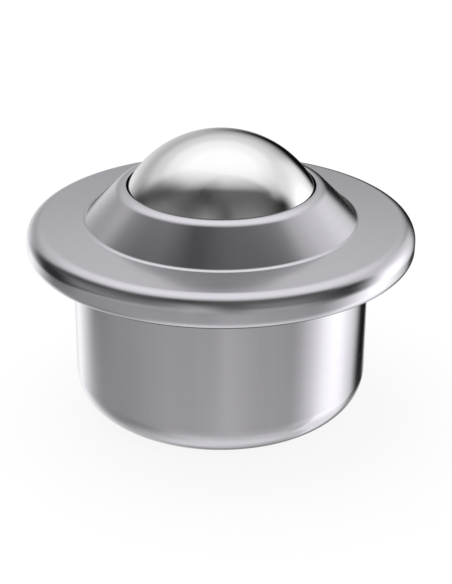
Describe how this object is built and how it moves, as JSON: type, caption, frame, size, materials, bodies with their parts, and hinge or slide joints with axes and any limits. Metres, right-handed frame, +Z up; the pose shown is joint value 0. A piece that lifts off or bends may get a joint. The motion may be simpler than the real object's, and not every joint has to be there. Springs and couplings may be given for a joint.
{
  "type": "ball transfer unit",
  "caption": "Flanged steel ball transfer unit: a large ball turns freely on a bowl of small balls in a drawn cup, held by a pressed cap with a rolled rim.",
  "frame": {"origin": "centre of the cup's flat base", "axes": "+Z up along the axis that the cup, cap and load ball share; X and Y are alike, because the unit is round"},
  "size_m": [0.0456, 0.0456, 0.0335],
  "materials": {
    "drawn_steel": "bright zinc-plated drawn sheet, smooth satin",
    "pressed_steel": "bright zinc-plated pressed sheet, smooth satin",
    "hardened_steel": "hardened, ground race",
    "turned_steel": "turned",
    "polished_ball_steel": "lapped mirror",
    "support_ball_steel": "lapped mirror",
    "felt": "dense oiled felt"
  },
  "bodies": {
    "housing": {"housing_cup": "drawn_steel", "race_bowl": "hardened_steel", "retaining_ring": "turned_steel", "felt_wiper": "felt", "top_cap": "pressed_steel"},
    "support_ball_set": {"support_ball_0_01": "support_ball_steel", "support_ball_1_01": "support_ball_steel", "support_ball_1_02": "support_ball_steel", "support_ball_1_03": "support_ball_steel", "support_ball_1_04": "support_ball_steel", "support_ball_1_05": "support_ball_steel", "support_ball_1_06": "support_ball_steel", "support_ball_2_01": "support_ball_steel", "support_ball_2_02": "support_ball_steel", "support_ball_2_03": "support_ball_steel", "support_ball_2_04": "support_ball_steel", "support_ball_2_05": "support_ball_steel", "support_ball_2_06": "support_ball_steel", "support_ball_2_07": "support_ball_steel", "support_ball_2_08": "support_ball_steel", "support_ball_2_09": "support_ball_steel", "support_ball_2_10": "support_ball_steel", "support_ball_2_11": "support_ball_steel", "support_ball_2_12": "support_ball_steel", "support_balls_row_3": "support_ball_steel", "support_balls_row_4": "support_ball_steel", "support_balls_row_5": "support_ball_steel", "support_balls_row_6": "support_ball_steel"},
    "load_ball": {"load_ball": "polished_ball_steel"}
  },
  "joints": [
    {"name": "support_balls_circulate", "type": "hinge", "parent": "housing", "child": "support_ball_set", "pos_m": [0, 0, 0.0208], "axis": [0, 0, 1], "continuous": true},
    {"name": "load_ball_roll", "type": "hinge", "parent": "support_ball_set", "child": "load_ball", "pos_m": [0, 0, 0.0208], "axis": [1, 0, 0], "continuous": true}
  ]
}
